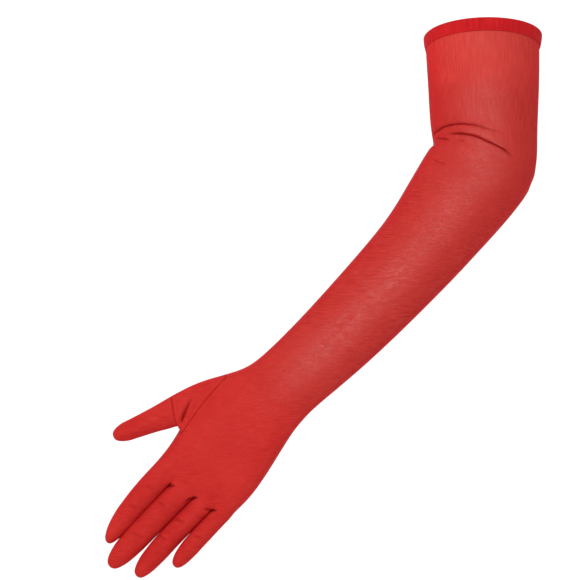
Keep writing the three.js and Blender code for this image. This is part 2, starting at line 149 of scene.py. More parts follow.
def ringShapes():
    # Unit rings, as (towards the thumb, towards the back): an ellipse for the arm, a squarer one for the hand
    count = arm["ringPoints"]
    angle = 2 * np.pi * np.arange(count) / count
    armRing = np.stack([np.cos(angle), -np.sin(angle)], 1)
    edges, places = rootPlaces()
    share = 2 * places / (edges[0] - edges[-1])
    square = arm["palmSquareness"]
    rise = (1 - np.abs(share) ** (2 / square)) ** (square / 2)
    handRing = np.zeros((count, 2))
    handRing[0] = (1, 0)
    handRing[10] = (-1, 0)
    handRing[1:10] = np.stack([share, -rise], 1)
    handRing[11:20] = np.stack([share, rise], 1)[::-1]
    return armRing, handRing


def sleeveRing(section):
    # One ring of the sleeve: a unit ring sized, turned about Y, leaned and moved to its place on the arm
    segment, at, turn, wide, deep, shift, lean, crease = section
    size = arm[segment]
    armRing, handRing = ringShapes()
    blend = arm["handShare"].get(segment, 0) + (at if segment == "palm" else 0)
    ring = armRing + (handRing - armRing) * min(1, blend)
    count = arm["ringPoints"]
    turned = np.abs(((np.arange(count) + count / 2) % count) / count - 0.5)
    sunk = crease * np.cos(np.pi / 2 * np.minimum(1, turned / arm["creaseReach"]))
    side = thumbSide(bend * turn)
    centre = (segmentStart[segment] + segmentAlong[segment] * at * size["length"]
              + side * shift * size["width"])
    points = centre + np.outer(ring[:, 0] * (wide * size["width"] / 2 - sunk), side)
    points[:, 1] += ring[:, 1] * (deep * size["depth"] / 2 - sunk)
    points[:, 2] -= points[:, 1] * math.tan(rad(arm["hemTilt"])) * lean
    return points


class Cage:
    # The net of quads that the cloth is smoothed from, with a piece number and UV corners for each quad

    def __init__(self):
        self.points = []
        self.faces = []
        self.pieces = []
        self.uvs = []

    def add(self, points):
        start = len(self.points)
        self.points += [np.asarray(point, float) for point in points]
        return list(range(start, len(self.points)))

    def face(self, corners, piece, uv):
        self.faces.append(corners)
        self.pieces.append(piece)
        self.uvs.append(uv)


def joinRings(cage, upper, lower, heights, columns, pieceOf, skip=()):
    # A row of quads between two rings, apart from those to skip
    count = len(upper)
    top, low = heights
    for i in range(count):
        if i in skip:
            continue
        j = (i + 1) % count
        left, right = columns(i)
        cage.face([upper[i], lower[i], lower[j], upper[j]], pieceOf(i),
                  [(left, top), (left, low), (right, low), (right, top)])


def buildSleeve(cage):
    # The arm and hand down to the finger roots, open where the gusset goes
    rings = [cage.add(sleeveRing(section)) for section in sleeveSections]
    edges, places = rootPlaces()
    places = places + arm["rootSlide"]
    root = [0] * 20
    webs = []
    for i, edge in enumerate(edges):
        pair = (fingers[max(i - 1, 0)], fingers[min(i, 3)])
        outer = i in (0, 4)
        web = sum(finger["web"] for finger in pair) / 2 - (fingerRoots["outerBack"] if outer else 0)
        depth = sum(finger["depth"] for finger in pair) / 4
        root[1 + 2 * i], root[19 - 2 * i], middle = cage.add([
            handPlace(web + fingerRoots["palmLift"], places[2 * i], -depth * fingerRoots["palmWebDepth"]),
            handPlace(web + fingerRoots["backLift"], places[2 * i], depth * fingerRoots["backWebDepth"]),
            handPlace(web + (0 if outer else fingerRoots["middleLift"]), edge + arm["rootSlide"], 0)])
        webs.append(middle)
    root[0], root[10] = webs[0], webs[4]
    for i, finger in enumerate(fingers):
        place, half = places[2 * i + 1], finger["depth"] / 2
        root[2 + 2 * i], root[18 - 2 * i] = cage.add([
            handPlace(finger["web"] + fingerRoots["palmLift"], place, -half * fingerRoots["palmDepth"]),
            handPlace(finger["web"] + fingerRoots["backLift"], place, half * fingerRoots["backDepth"])])
    rings.append(root)
    centres = [np.mean([cage.points[k] for k in ring], 0) for ring in rings]
    heights = np.concatenate([[0], np.cumsum([np.linalg.norm(b - a) for a, b in zip(centres, centres[1:])])])
    for row in range(len(rings) - 1):
        hole = (0, 19) if row in (arm["thumbRow"], arm["thumbRow"] + 1) else ()
        joinRings(cage, rings[row], rings[row + 1], heights[row:row + 2], lambda i: (i, i + 1),
                  lambda i: 0 if i < 10 else 1, hole)
    return rings, root, webs, heights


def fingerColumns(i):
    # UV columns of a finger's eight quads, which carry on those of the hand on both sides
    return lambda c: (2 * i + c, 2 * i + c + 1) if c < 4 else (12 - 2 * i + c, 13 - 2 * i + c)


def closeTip(cage, ring, tip, height, pieceOf, columns):
    # Four quads from the last ring of eight to the point at the tip
    for c in range(0, 8, 2):
        left, right = columns(c)[0], columns(c + 1)[1]
        middle = (left + right) / 2
        cage.face([ring[(c + 2) % 8], ring[(c + 1) % 8], ring[c], tip], pieceOf(c),
                  [(right, height[0]), (middle, height[0]), (left, height[0]), (middle, height[1])])


def buildFinger(cage, i, root, webs, startHeight):
    finger = fingers[i]
    place = rootPlaces()[1][2 * i + 1] + arm["rootSlide"]
    curl = rad(finger["curl"])
    pieceOf = lambda c: 0 if c < 4 else 1
    previous = [webs[i], root[1 + 2 * i], root[2 + 2 * i], root[3 + 2 * i], webs[i + 1],
                root[17 - 2 * i], root[18 - 2 * i], root[19 - 2 * i]]
    turns = 2 * np.pi * np.arange(8) / 8

    def centreAt(share):
        steps = fingerBend["steps"]
        angle = curl * np.minimum(fingerBend["limit"],
                                  fingerBend["rate"] * share * (np.arange(steps) + 0.5) / steps)
        point = handPlace(finger["web"], place + finger["lean"] * share + finger["hook"] * share ** 3, 0)
        reach = finger["length"] * share / steps
        return point + along * np.cos(angle).sum() * reach - np.array([0, np.sin(angle).sum() * reach, 0])

    columns = fingerColumns(i)
    height = startHeight
    for at, wide, deep, bent in fingerSections:
        angle = curl * bent
        lift = along * math.sin(angle) + np.array([0, math.cos(angle), 0])
        half = (finger["width"] - fingerRoots["gap"]) / 2 * wide * (1 - finger["taper"] * at ** 2)
        ring = cage.add(centreAt(at) + np.outer(np.cos(turns) * half, aside)
                        - np.outer(np.sin(turns) * finger["depth"] * deep / 2, lift))
        low = startHeight + at * finger["length"]
        joinRings(cage, previous, ring, (height, low), columns, pieceOf)
        previous, height = ring, low
    tip = cage.add([centreAt(1)])[0]
    closeTip(cage, previous, tip, (height, startHeight + finger["length"]), pieceOf, columns)


def buildThumb(cage, rings, heights):
    first = arm["thumbRow"]
    upper, middle, lower = rings[first:first + 3]
    previous = [upper[0], upper[1], middle[1], lower[1], lower[0], lower[19], middle[19], upper[19]]
    heading = bend + rad(thumb["angle"])
    rootAt = handPlace(thumb["seamAlong"], thumb["seamAside"], thumb["seamDepth"])
    turns = 2 * np.pi * np.arange(8) / 8
    height = heights[first + 1]
    columns = lambda c: (thumb["columnWidth"] * c, thumb["columnWidth"] * (c + 1))
    for row, (at, wide, deep, turn, lift) in enumerate(thumbSections):
        side = thumbSide(heading + rad(thumb["seamTurn"]) * turn)
        spots = (rootAt + travel(heading) * thumb["length"] * at + side * lift
                 + np.outer(np.cos(turns) * thumb["width"] * wide / 2, side)
                 - np.outer(np.sin(turns) * thumb["depth"] * deep / 2, [0, 1, 0]))
        low = heights[first + 1] + thumb["gussetHeight"] + at * thumb["length"]
        if row == 0:  # the gusset bulges over the ball of the thumb, most at its outer side
            hole = np.array([cage.points[corner] for corner in previous])
            outer = np.maximum(0, np.cos(turns))[:, None] ** 2
            half = cage.add(hole + (spots - hole) * thumb["bulgeAt"]
                            + thumbSide(heading) * thumb["bulge"] * outer)
            joinRings(cage, previous, half, (height, (height + low) / 2), columns, lambda c: 2)
            previous, height = half, (height + low) / 2
        ring = cage.add(spots)
        joinRings(cage, previous, ring, (height, low), columns, lambda c, row=row: 2 if row == 0 else 3)
        previous, height = ring, low
    tip = cage.add([rootAt + travel(heading) * thumb["length"]])[0]
    closeTip(cage, previous, tip, (height, height + thumb["tipHeight"]), lambda c: 3, columns)


def limitPoints(points, faces):
    # Where the smooth surface passes for each point: Catmull-Clark's limit mask, and the cubic one at an edge
    ring = np.zeros_like(points)
    far = np.zeros_like(points)
    count = np.zeros(len(points))
    for k in range(4):
        corner = faces[:, k]
        np.add.at(ring, corner, points[faces[:, (k + 1) % 4]] + points[faces[:, (k + 3) % 4]])
        np.add.at(far, corner, points[faces[:, (k + 2) % 4]])
        np.add.at(count, corner, 1)
    n = np.maximum(count, 1)[:, None]
    limit = (points * n * n + 2 * ring + far) / (n * (n + 5))
    pairs = np.sort(np.concatenate([faces[:, [k, (k + 1) % 4]] for k in range(4)]), 1)
    unique, uses = np.unique(pairs, axis=0, return_counts=True)
    rim = unique[uses == 1]
    rimSum = np.zeros_like(points)
    np.add.at(rimSum, rim[:, 0], points[rim[:, 1]])
    np.add.at(rimSum, rim[:, 1], points[rim[:, 0]])
    onRim = np.zeros(len(points), bool)
    onRim[rim.ravel()] = True
    limit[onRim] = (4 * points[onRim] + rimSum[onRim]) / 6
    unused = count == 0
    limit[unused] = points[unused]
    return limit


def fitPoints(points, faces, rounds=4):
    # Cage points moved out until the smooth surface passes through where they were
    wanted = points.copy()
    for _ in range(rounds):
        points = points + wanted - limitPoints(points, faces)
    return points


def meshObject(name, points, faces, uvs=None):
    mesh = bpy.data.meshes.new(name)
    mesh.from_pydata(np.asarray(points) * mm, [], [list(map(int, face)) for face in faces])
    if uvs is not None:
        mesh.uv_layers.new(name="UVMap").data.foreach_set("uv", np.asarray(uvs, np.float32).ravel())
    mesh.polygons.foreach_set("use_smooth", np.ones(len(mesh.polygons), bool))
    piece = bpy.data.objects.new(name, mesh)
    bpy.context.collection.objects.link(piece)
    return piece


def smoothSurface():
    # The whole cloth as one smooth mesh: points in mm, quads, UV corners and each quad's piece
    cage = Cage()
    rings, root, webs, heights = buildSleeve(cage)
    for i in range(4):
        buildFinger(cage, i, root, webs, heights[-1])
    buildThumb(cage, rings, heights)
    faces = np.array(cage.faces)
    points = fitPoints(np.array(cage.points), faces)
    helper = meshObject("clothCage", points, faces, cage.uvs)
    helper.data.polygons.foreach_set("material_index", np.array(cage.pieces, np.int32))
    for name in pieceNames:
        helper.data.materials.append(bpy.data.materials.new(name + "Slot"))
    smoother = helper.modifiers.new("smooth", "SUBSURF")
    smoother.levels = smoother.render_levels = arm["smoothness"]
    smoother.boundary_smooth = "PRESERVE_CORNERS"
    depsgraph = bpy.context.evaluated_depsgraph_get()
    mesh = bpy.data.meshes.new_from_object(helper.evaluated_get(depsgraph))
    coords = np.empty(len(mesh.vertices) * 3, np.float32)
    mesh.vertices.foreach_get("co", coords)
    corners = np.empty(len(mesh.loops), np.int32)
    mesh.loops.foreach_get("vertex_index", corners)
    uvs = np.empty(len(mesh.loops) * 2, np.float32)
    mesh.uv_layers[0].data.foreach_get("uv", uvs)
    kinds = np.empty(len(mesh.polygons), np.int32)
    mesh.polygons.foreach_get("material_index", kinds)
    for material in list(helper.data.materials):
        bpy.data.materials.remove(material)
    bpy.data.meshes.remove(mesh)
    bpy.data.objects.remove(helper)
    return coords.reshape(-1, 3) / mm, corners.reshape(-1, 4), uvs.reshape(-1, 4, 2), kinds


def outwardNormals(points, faces):
    a, b, c, d = (points[faces[:, k]] for k in range(4))
    normal = np.cross(c - a, d - b)
    total = np.zeros_like(points)
    for k in range(4):
        np.add.at(total, faces[:, k], normal)
    return total / np.maximum(np.linalg.norm(total, axis=1, keepdims=True), 1e-9)


print("surface of the cloth")
clothPoints, clothFaces, clothUvs, clothKinds = smoothSurface()
print(len(clothPoints), "points", len(clothFaces), "quads")

# The camera stands level in front of the glove, and the folds below are placed where it sees them
cameraSpot = {"x": -150, "z": -196.5, "away": 1400, "frame": 449.5, "sensor": 36}

# Folds of the palm side, each a line of (x, z) in mm as seen from the front on the plane y = 0, with the
# width and depth of its valley in mm. The cloth swells beside it by a share of the depth, the fold is full
# from 1 / start of its line to 1 / end before the line's end, and the shade painted along its valley is as
# dark as given or by its depth. This painted shade fades over the shade's mm and the fold touches points up
# to the reach in mm from its middle, all the less the more the cloth turns from the front
foldLook = {"swell": 0.3, "start": 6, "end": 3, "darkness": 0.75, "shade": 2.5, "reach": 60, "facing": 3,
            "far": 9.0}
folds = [
    {"line": [(-43, -82), (-40.3, -78.7), (-37.6, -74.4), (-32.5, -70.7), (-27.5, -68.9), (-21.3, -67.8),
              (-15.5, -67.6), (-9.7, -68.2), (-3.5, -69.2), (3.8, -71.5), (12.8, -73.5), (20, -77)],
     "width": 0.95, "depth": 2.0, "start": 20, "end": 1.6},
    {"line": [(-31, -76.4), (-24.5, -75.4), (-17.7, -75.2), (-11, -76.1), (-5.1, -77.5), (2.3, -80.8),
              (9.7, -84.1), (15.7, -87.1), (20.1, -90.8), (24.4, -94.2)],
     "width": 0.95, "depth": 2.1, "start": 5, "end": 5},
    {"line": [(-37.5, -78.6), (-30, -79.4), (-25.2, -79.2)], "width": 0.9, "depth": 0.9},
    {"line": [(-21, -79.8), (-16.7, -80.6), (-12.6, -81.6)], "width": 0.9, "depth": 0.4},
    {"line": [(-39.5, -95), (-33, -97.8), (-26.5, -100)], "width": 1.4, "depth": 0.6},
    {"line": [(-225, -276), (-226.7, -281), (-228.4, -284.5), (-230.5, -289.7), (-232.7, -294.9),
              (-234.2, -300)],
     "width": 1.5, "depth": 2.2, "start": 1.8, "end": 14, "dark": 1},
    {"line": [(-245, -348.8), (-242, -348), (-238.5, -348.6)],
     "width": 1.0, "depth": 1.2, "start": 9, "dark": 0.9},
    {"line": [(-231, -361), (-228, -358.8), (-224.5, -357.7), (-219.5, -357.2)],
     "width": 0.9, "depth": 1.2, "start": 9, "dark": 0.9},
    {"line": [(-218.4, -365.5), (-215.1, -366.5), (-211.5, -367.2), (-206, -367.6)],
     "width": 0.9, "depth": 1.1, "start": 3, "end": 5, "dark": 0.8},
    {"line": [(-233.7, -344.5), (-230.2, -345.5), (-226.7, -346.1)], "width": 1.3, "depth": 0.6, "dark": 0.2},
    {"line": [(-228.7, -338.8), (-224, -339.4), (-220.1, -339.1)], "width": 1.3, "depth": 0.5, "dark": 0.2},
    {"line": [(-212, -351), (-205, -352.5), (-198, -352)], "width": 1.5, "depth": 0.4, "dark": 0.1},
    {"line": [(-214, -356), (-207, -358), (-200, -357.5)], "width": 1.5, "depth": 0.4, "dark": 0.1},
]
# The short wrinkles of the fingers, alike but for their depth
folds += [{"line": line, "width": 1.2, "depth": depth, "swell": 0.35, "dark": 0.3} for depth, line in (
    (1.0, [(-272.5, -383.8), (-267.5, -387), (-262, -389.5)]),
    (0.9, [(-252.4, -360.2), (-248.8, -362.7), (-244.9, -364.5)]),
    (0.65, [(-262, -347), (-256.5, -350.5), (-252, -351)]),
    (0.65, [(-276, -362), (-270, -366), (-265, -367)]),
    (0.8, [(-239.5, -372.5), (-234, -376), (-229.5, -377)]),
    (0.8, [(-252.5, -385.5), (-247, -389.5), (-243, -390)]),
    (0.7, [(-225, -385), (-220.5, -388), (-216.5, -388.5)]))]


def seenFromFront(points):
    # Where the camera sees each point against the plane y = 0, as (x, z)
    scale = (cameraSpot["away"] / (cameraSpot["away"] + points[:, 1]))[:, None]
    centre = np.array([cameraSpot["x"], cameraSpot["z"]])
    return centre + (points[:, [0, 2]] - centre) * scale


def lineDistance(places, line):
    # For each place its distance to a line of points, with the side's sign, and how far along the line the
    # nearest point lies, 0 to 1
    line = np.array(line, float)
    lengths = np.linalg.norm(np.diff(line, axis=0), axis=1)
    best = np.full(len(places), 1e9)
    share, side = np.zeros(len(places)), np.ones(len(places))
    before = 0
    for a, b, length in zip(line, line[1:], lengths):
        offset = places - a
        t = np.clip(offset @ (b - a) / length ** 2, 0, 1)
        distance = np.linalg.norm(offset - t[:, None] * (b - a), axis=1)
        closer = distance < best
        best[closer] = distance[closer]
        side[closer] = np.sign((b - a)[0] * offset[closer, 1] - (b - a)[1] * offset[closer, 0])
        share[closer] = (before + t[closer] * length) / lengths.sum()
        before += length
    return best * side, share


def foldedCloth(points, faces):
    # Valleys sink along the surface's normal: depth (swell e^-(d/3w)^2 - (1 + swell) e^-(d/w)^2),
    # faded towards both ends of the fold. Also what the material reads: how strong the nearest fold's painted
    # shade is, how far it lies in mm, and how squarely the cloth faces the front and the back, from which the
    # material paints light showing through the cloth there and shade at its sides
    normals = outwardNormals(points, faces)
    seen = seenFromFront(points)
    offset = np.zeros(len(points))
    near, apart = np.zeros(len(points)), np.full(len(points), foldLook["far"])
    facing = np.clip(-normals[:, 1] * foldLook["facing"], 0, 1)
    for fold in folds:
        fold = {**foldLook, **fold}
        reach = np.abs(seen - np.mean(fold["line"], 0)).max(1) < fold["reach"]
        distance, share = lineDistance(seen[reach], fold["line"])
        width = fold["width"]
        sunk = np.exp(-(distance / width) ** 2)
        valley = fold["swell"] * np.exp(-(distance / width / 3) ** 2) - (1 + fold["swell"]) * sunk
        ends = np.clip(np.minimum(share * fold["start"], (1 - share) * fold["end"]), 0, 1)
        ends = ends * ends * (3 - 2 * ends) * facing[reach]
        offset[reach] += fold["depth"] * valley * ends
        # how dark the shade painted along this fold is
        dark = min(1, fold.get("dark", fold["depth"] * fold["darkness"]))
        weight = np.exp(-(distance / fold["shade"]) ** 2) * ends * dark
        stronger = weight > near[reach]
        near[reach] = np.where(stronger, weight, near[reach])
        apart[reach] = np.where(stronger, distance, apart[reach])
    # The last value is the squared share of the normal along y, which the material uses to paint light
    # showing through where it is high and shade at the sides where it is low
    paints = {"fold": near, "foldDistance": apart, "faceOn": normals[:, 1] ** 2}
    return points + normals * offset[:, None], paints


def paintPoints(piece, name, values):
    # A value for each point, which the material reads by name
    piece.data.attributes.new(name, "FLOAT", "POINT").data.foreach_set("value", values.astype(np.float32))


def clothPiece(name, kind, points, faces, uvs, kinds, paints, gap=0.06):
    # One panel cut from the cloth, drawn back from its seams by the gap, with a wall of the cloth's thickness
    own = faces[kinds == kind]
    used, local = np.unique(own, return_inverse=True)
    local = local.reshape(-1, 4)
    spots = points[used].copy()
    centres = spots[local].mean(1)
    edges = np.concatenate([local[:, [k, (k + 1) % 4]] for k in range(4)])
    pairs, uses = np.unique(np.sort(edges, 1), axis=0, return_counts=True)
    rim = np.unique(pairs[uses == 1])
    pull = np.zeros_like(spots)
    for k in range(4):
        np.add.at(pull, local[:, k], centres - spots[local[:, k]])
    spots[rim] += pull[rim] / np.linalg.norm(pull[rim], axis=1, keepdims=True) * gap
    piece = meshObject(name, spots, local, uvs[kinds == kind])
    for label, values in paints.items():
        paintPoints(piece, label, values[used])
    wall = piece.modifiers.new("wall", "SOLIDIFY")
    wall.thickness = arm["thickness"] * mm
    wall.offset = -1
    wall.use_even_offset = False
    return piece


print("folds")
clothPoints, clothPaints = foldedCloth(clothPoints, clothFaces)
panels = {name: clothPiece(name, kind, clothPoints, clothFaces, clothUvs, clothKinds, clothPaints)
          for kind, name in enumerate(pieceNames)}


def borderChains(kindA, kindB):
    # Lines of points along which two pieces of the cloth meet, each in order
    edges = {}
    for kind in (kindA, kindB):
        own = clothFaces[clothKinds == kind]
        edges[kind] = {tuple(pair) for pair in np.sort(
            np.concatenate([own[:, [k, (k + 1) % 4]] for k in range(4)]), 1)}
    links = {}
    for a, b in edges[kindA] & edges[kindB]:
        links.setdefault(a, []).append(b)
        links.setdefault(b, []).append(a)
    chains = []
    left = set(links)
    while left:
        ends = [point for point in left if len(links[point]) == 1]
        start = min(ends) if ends else min(left)
        chain = [start]
        left.discard(start)
        while True:
            following = [point for point in links[chain[-1]] if point in left]
            if not following:
                break
            chain.append(following[0])
            left.discard(following[0])
        closed = not ends and len(chain) > 2
        chains.append((chain, closed))
    return chains


# Seams: round threads that lie partly in the cloth, in mm, and how much of the fold's colour they take
seam = {"radius": 0.32, "lift": -0.17, "sides": 6, "dark": 0.75}


def threadMesh(name, chains):
    # A round thread along each chain: centre line + radius (cos a * outwards + sin a * across)
    sides = seam["sides"]
    normals = outwardNormals(clothPoints, clothFaces)
    spots, faces, uvs = [], [], []
    for chain, closed in chains:
        centre = clothPoints[chain] + normals[chain] * seam["lift"]
        forward = np.roll(centre, -1, 0) - np.roll(centre, 1, 0)
        if not closed:
            forward[0] = centre[1] - centre[0]
            forward[-1] = centre[-1] - centre[-2]
        forward /= np.linalg.norm(forward, axis=1, keepdims=True)
        across = np.cross(forward, normals[chain])
        across /= np.linalg.norm(across, axis=1, keepdims=True)
        outwards = np.cross(across, forward)
        turns = 2 * np.pi * np.arange(sides) / sides
        ring = centre[:, None] + seam["radius"] * (np.cos(turns)[None, :, None] * outwards[:, None]
                                                   + np.sin(turns)[None, :, None] * across[:, None])
        start = sum(len(part) for part in spots)
        spots.append(ring.reshape(-1, 3))
        steps = np.concatenate([[0], np.cumsum(np.linalg.norm(np.diff(centre, axis=0), axis=1))])
        count = len(chain)
        for row in range(count if closed else count - 1):
            low = (row + 1) % count
            for side in range(sides):
                nextSide = (side + 1) % sides
                faces.append([start + row * sides + side, start + row * sides + nextSide,
                              start + low * sides + nextSide, start + low * sides + side])
                end = steps[low] if low else steps[row] + 1
                uvs += [(side / sides, steps[row]), ((side + 1) / sides, steps[row]),
                        ((side + 1) / sides, end), (side / sides, end)]
        if not closed:
            faces.append([start + side for side in range(sides)][::-1])
            faces.append([start + (count - 1) * sides + side for side in range(sides)])
            uvs += [(0.5, 0)] * (2 * sides)
    thread = meshObject(name, np.concatenate(spots), faces, uvs)
    paintPoints(thread, "fold", np.full(len(thread.data.vertices), seam["dark"]))
    return thread


print("seams")
threads = [threadMesh("sideSeam", borderChains(0, 1)),
           threadMesh("gussetSeam", borderChains(0, 2) + borderChains(1, 2)),
           threadMesh("thumbSeam", borderChains(2, 3))]

# The hem: cloth folded over the top edge into a flat band that stands off further at its top rim than at its
# lower edge, in mm. The rise is how far the smooth sleeve stands off its first section
hem = {"height": 10, "edge": 0.3, "rim": 1.85, "flare": 0.9, "belly": 0.25, "corner": 0.25, "back": 0.45,
       "gap": 0.15, "rise": 0.18, "columns": 480, "uvColumns": 20}


def hemBand():
    # A folded profile carried round the opening's ellipse. Each of its points is given as mm below the
    # sleeve's edge and mm outwards from its face
    fold, gap = arm["hemFold"], hem["gap"]
    leg = hem["height"] - fold
    inside = -arm["thickness"]
    outer, rim = hem["edge"], hem["rim"]
    inner = inside - gap - hem["back"]
    half = inside / 2
    outside = [(leg, gap), (leg - hem["corner"], outer)]
    for t in np.linspace(0.92, 0, 9):
        flare = (rim - outer) * (1 - t) ** hem["flare"]
        outside.append((leg * t, outer + flare + hem["belly"] * math.sin(math.pi * t)))
    bow = [(-fold * math.sin(a), half + (rim - half) * math.cos(a))
           for a in np.linspace(0.25, math.pi / 2, 5)]
    back = [(-fold * math.sin(a), half - (inner - half) * math.cos(a))
            for a in np.linspace(math.pi / 2, math.pi, 6)[1:]]
    inward = [(leg * 0.5, inner), (leg, inner)]
    under = [(leg, inside - gap), (0, inside - gap), (-fold * 0.4, half), (0, gap)]
    profile = np.array(outside + bow + back + inward + under)
    rows, columns = len(profile), hem["columns"]
    angle = 2 * np.pi * np.arange(columns) / columns
    shift = sleeveSections[0][5]
    size = arm["upperArm"]
    below, out = profile[:, 0][:, None], profile[:, 1][:, None]
    y = -np.sin(angle)[None] * (size["depth"] / 2 + hem["rise"] + out)
    x = -np.cos(angle)[None] * (size["width"] / 2 + hem["rise"] + out) - shift * size["width"]
    z = -fold - below - y * math.tan(rad(arm["hemTilt"]))
    points = np.stack([x, y, z + 0 * x], 2).reshape(-1, 3)
    row, column = np.meshgrid(np.arange(rows), np.arange(columns), indexing="ij")
    nextRow, nextColumn = (row + 1) % rows, (column + 1) % columns
    faces = np.stack([row * columns + column, row * columns + nextColumn,
                      nextRow * columns + nextColumn, nextRow * columns + column], 2).reshape(-1, 4)
    steps = np.concatenate([[0], np.cumsum(np.linalg.norm(np.diff(profile, axis=0), axis=1))])
    v = np.append(steps, steps[-1] + 1)
    u = np.arange(columns + 1) * hem["uvColumns"] / columns
    uvs = np.stack([np.stack([u[column], v[row]], 2), np.stack([u[column + 1], v[row]], 2),
                    np.stack([u[column + 1], v[row + 1]], 2), np.stack([u[column], v[row + 1]], 2)], 2)
    return meshObject("hemBand", points, faces, uvs.reshape(-1, 2))


print("hem")
hemPiece = hemBand()


def group(name, inputs, outputs):
    # A node group with named sockets, vectors for UV and Place and values for the rest
    tree = bpy.data.node_groups.new(name, "ShaderNodeTree")
    for label in inputs:
        kind = "NodeSocketVector" if label in ("UV", "Place") else "NodeSocketFloat"
        tree.interface.new_socket(label, in_out="INPUT", socket_type=kind)
    for label in outputs:
        tree.interface.new_socket(label, in_out="OUTPUT", socket_type="NodeSocketFloat")
    start, end = tree.nodes.new("NodeGroupInput"), tree.nodes.new("NodeGroupOutput")
    return tree, start.outputs, end.inputs


def put(tree, socket, value):
    # A link from another socket, or a fixed value
    if isinstance(value, bpy.types.NodeSocket):
        tree.links.new(value, socket)
    else:
        socket.default_value = value


def calc(tree, operation, *values):
    node = tree.nodes.new("ShaderNodeMath")
    node.operation = operation
    for socket, value in zip(node.inputs, values):
        put(tree, socket, value)
    return node.outputs[0]


def remap(tree, value, low, high, toLow=0.0, toHigh=1.0, smooth=False):
    node = tree.nodes.new("ShaderNodeMapRange")
    node.interpolation_type = "SMOOTHSTEP" if smooth else "LINEAR"
    for socket, item in zip(node.inputs, (value, low, high, toLow, toHigh)):
        put(tree, socket, item)
    return node.outputs[0]


def noise(tree, place, scale, detail=2.0, roughness=0.5):
    node = tree.nodes.new("ShaderNodeTexNoise")
    put(tree, node.inputs["Vector"], place)
    put(tree, node.inputs["Scale"], scale)
    put(tree, node.inputs["Detail"], detail)
    put(tree, node.inputs["Roughness"], roughness)
    return node.outputs["Fac"]


def vector(tree, x, y, z=0.0):
    node = tree.nodes.new("ShaderNodeCombineXYZ")
    for socket, value in zip(node.inputs, (x, y, z)):
        put(tree, socket, value)
    return node.outputs[0]


def parts(tree, place):
    node = tree.nodes.new("ShaderNodeSeparateXYZ")
    put(tree, node.inputs[0], place)
    return node.outputs


def mixColours(tree, share, first, second):
    node = tree.nodes.new("ShaderNodeMix")
    node.data_type = "RGBA"
    put(tree, node.inputs["Factor"], share)
    put(tree, node.inputs["A"], first)
    put(tree, node.inputs["B"], second)
    return node.outputs["Result"]


# How the cloth varies. Ribs run along the arm and fade by the elbow, where fine lines across it come in that
# fade again to the hand. Heights are mm from the hem along the cloth. Scales of the lines and patches are per
# metre, those of the ribs and of the lines' drift per column and per mm of the UV map
weave = {
    "scatter": 0.7, "yarnEnds": (0.0, 0.6), "contrast": (0.3, 0.7),
    "ribSpeed": 0.09, "ribFade": (60.0, 130.0), "ribsLeft": 0.25,
    "lineScale": (120.0, 880.0), "lineContrast": (0.36, 0.64), "lineRise": (95.0, 150.0),
    "lineFade": (260.0, 360.0), "linesFirst": 0.1, "linesLeft": 0.45,
    "driftScale": (0.8, 0.02), "driftContrast": (0.35, 0.65), "driftLow": 0.4,
    "patchScale": 38.0, "bumpShare": 0.6,
    "frontReach": 0.02,  # metres before and behind y = 0 over which the front turns into the back
    "sideReach": 0.5,  # the face-on share from which on the cloth no longer gets painted shade as a side
}


def netGroup():
    # An uneven net: a hole is where a point lies nearer to its cell's middle than the hole's radius in cells.
    # Wales are counted in each of the UV map's columns round the arm, Course is a stitch's length in mm
    tree, given, result = group("tulleNet", ("UV", "Wales", "Course", "Hole", "Soft"), ("Cover", "Yarn"))
    u, v, _ = parts(tree, given["UV"])
    cells = tree.nodes.new("ShaderNodeTexVoronoi")
    cells.voronoi_dimensions = "2D"
    put(tree, cells.inputs["Vector"], vector(tree, calc(tree, "MULTIPLY", u, given["Wales"]),
                                             calc(tree, "DIVIDE", v, given["Course"])))
    put(tree, cells.inputs["Scale"], 1.0)
    put(tree, cells.inputs["Randomness"], weave["scatter"])
    distance = cells.outputs["Distance"]
    put(tree, result["Cover"], remap(tree, distance, calc(tree, "SUBTRACT", given["Hole"], given["Soft"]),
                                     calc(tree, "ADD", given["Hole"], given["Soft"]), smooth=True))
    put(tree, result["Yarn"], remap(tree, distance, *weave["yarnEnds"]))
    return tree


def toneGroup():
    # The cloth's unevenness as three values about 0: ribs, lines and cloudy patches
    tree, given, result = group("clothTone", ("UV", "Place", "Rib Count", "Ribs", "Lines"),
                                ("Rib", "Line", "Patch"))
    u, v, _ = parts(tree, given["UV"])
    x, _, z = parts(tree, given["Place"])

    def wave(first, second, scales, detail=1.0):
        places = [calc(tree, "MULTIPLY", value, scale) for value, scale in zip((first, second), scales)]
        return noise(tree, vector(tree, *places), 1.0, detail)

    drift = wave(u, v, weave["driftScale"], 2.0)
    ribWave = wave(u, v, (given["Rib Count"], weave["ribSpeed"]))
    above = remap(tree, v, *weave["ribFade"], 1.0, weave["ribsLeft"], smooth=True)
    ribs = calc(tree, "MULTIPLY", remap(tree, ribWave, *weave["contrast"], -1.0, 1.0),
                calc(tree, "MULTIPLY", above, given["Ribs"]))
    put(tree, result["Rib"], ribs)
    lineWave = wave(x, z, weave["lineScale"])
    below = calc(tree, "MULTIPLY", remap(tree, v, *weave["lineRise"], weave["linesFirst"], 1.0, smooth=True),
                 remap(tree, v, *weave["lineFade"], 1.0, weave["linesLeft"], smooth=True))
    lines = calc(tree, "MULTIPLY", remap(tree, lineWave, *weave["lineContrast"], -1.0, 1.0),
                 calc(tree, "MULTIPLY", below, given["Lines"]))
    put(tree, result["Line"], calc(tree, "MULTIPLY", lines, remap(
        tree, drift, *weave["driftContrast"], weave["driftLow"], 1.0)))
    clouds = noise(tree, given["Place"], weave["patchScale"], 3.0, 0.6)
    put(tree, result["Patch"], remap(tree, clouds, *weave["contrast"], -1.0, 1.0))
    return tree


netTree, toneTree = netGroup(), toneGroup()


def newMaterial(name, values):
    material = bpy.data.materials.new(name)
    material.use_nodes = True
    shader = material.node_tree.nodes["Principled BSDF"]
    for label, value in values.items():
        shader.inputs[label].default_value = value
    return material, material.node_tree, shader


